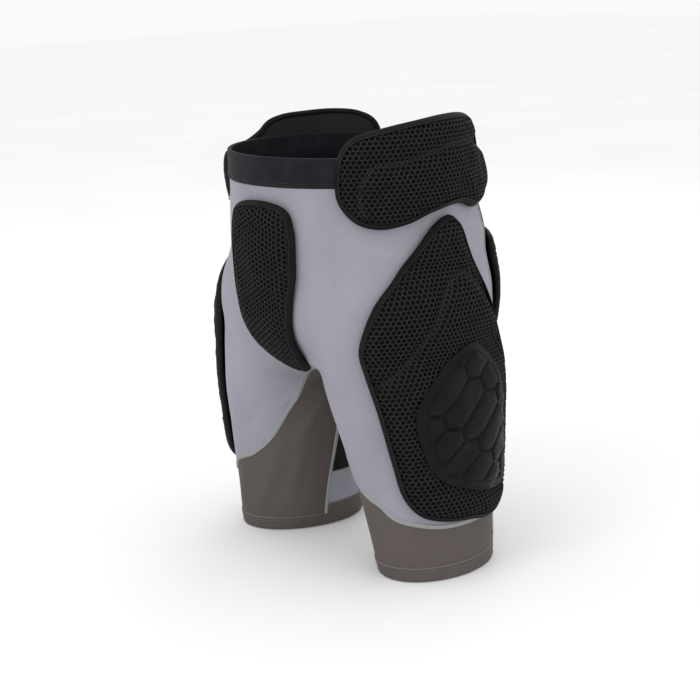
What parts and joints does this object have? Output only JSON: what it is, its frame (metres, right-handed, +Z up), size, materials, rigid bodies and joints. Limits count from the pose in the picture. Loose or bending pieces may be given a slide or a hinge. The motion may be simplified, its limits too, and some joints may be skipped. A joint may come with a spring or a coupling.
{
  "type": "padded impact shorts",
  "caption": "Close-fitting impact shorts of stretch knit with foam pads under spacer mesh at the hips, thighs, groin and seat, and moulded plates on the thighs.",
  "frame": {"origin": "centre of the waistband's top plane, where the wearer's waist comes out", "axes": "+Z up along the wearer's body, -Y towards the wearer's front, +X towards the wearer's left"},
  "size_m": [0.3398, 0.2723, 0.4372],
  "materials": {
    "grey_knit": "light grey stretch knit, fine ribs, soft sheen",
    "taupe_knit": "warm dark grey stretch knit, fine ribs",
    "black_knit": "black stretch knit and pad lining",
    "waistband_knit": "dark purple-black knitted band",
    "waistband_elastic": "woven elastic",
    "spacer_mesh": "black open mesh with staggered holes",
    "foam": "closed-cell foam",
    "binding_tape": "black folded binding tape, matt",
    "moulded_plate": "moulded dark plate, satin on the raised cells"
  },
  "bodies": {
    "hips": {"left_front_panel": "grey_knit", "right_front_panel": "grey_knit", "groin_gusset": "grey_knit", "seat_panel": "black_knit", "waistband_cover": "waistband_knit", "waistband_elastic": "waistband_elastic", "left_hip_pad_mesh_cover": "spacer_mesh", "left_hip_pad_foam_core": "foam", "left_hip_pad_lining": "black_knit", "left_hip_pad_binding": "binding_tape", "right_hip_pad_mesh_cover": "spacer_mesh", "right_hip_pad_foam_core": "foam", "right_hip_pad_lining": "black_knit", "right_hip_pad_binding": "binding_tape", "left_rear_pad_mesh_cover": "spacer_mesh", "left_rear_pad_foam_core": "foam", "left_rear_pad_binding": "binding_tape", "right_rear_pad_mesh_cover": "spacer_mesh", "right_rear_pad_foam_core": "foam", "right_rear_pad_binding": "binding_tape", "groin_pad_mesh_cover": "spacer_mesh", "groin_pad_foam_core": "foam", "groin_pad_binding": "binding_tape", "tail_pad_mesh_cover": "spacer_mesh", "tail_pad_foam_core": "foam", "tail_pad_binding": "binding_tape"},
    "left_leg": {"left_thigh_panel": "grey_knit", "left_inner_leg_panel": "taupe_knit", "left_back_leg_panel": "black_knit", "left_lower_back_panel": "grey_knit", "left_hem_cuff": "taupe_knit", "left_thigh_pad_mesh_cover": "spacer_mesh", "left_thigh_pad_foam_core": "foam", "left_thigh_pad_binding": "binding_tape", "left_thigh_plate": "moulded_plate"},
    "right_leg": {"right_thigh_panel": "grey_knit", "right_inner_leg_panel": "taupe_knit", "right_back_leg_panel": "black_knit", "right_lower_back_panel": "grey_knit", "right_hem_cuff": "taupe_knit", "right_thigh_pad_mesh_cover": "spacer_mesh", "right_thigh_pad_foam_core": "foam", "right_thigh_pad_binding": "binding_tape", "right_thigh_plate": "moulded_plate"}
  },
  "joints": [
    {"name": "left_leg_swing", "type": "hinge", "parent": "hips", "child": "left_leg", "pos_m": [0, 0, -0.14], "axis": [-1, 0, 0], "range_deg": [-8, 30]},
    {"name": "right_leg_swing", "type": "hinge", "parent": "hips", "child": "right_leg", "pos_m": [0, 0, -0.14], "axis": [-1, 0, 0], "range_deg": [-8, 30]}
  ]
}
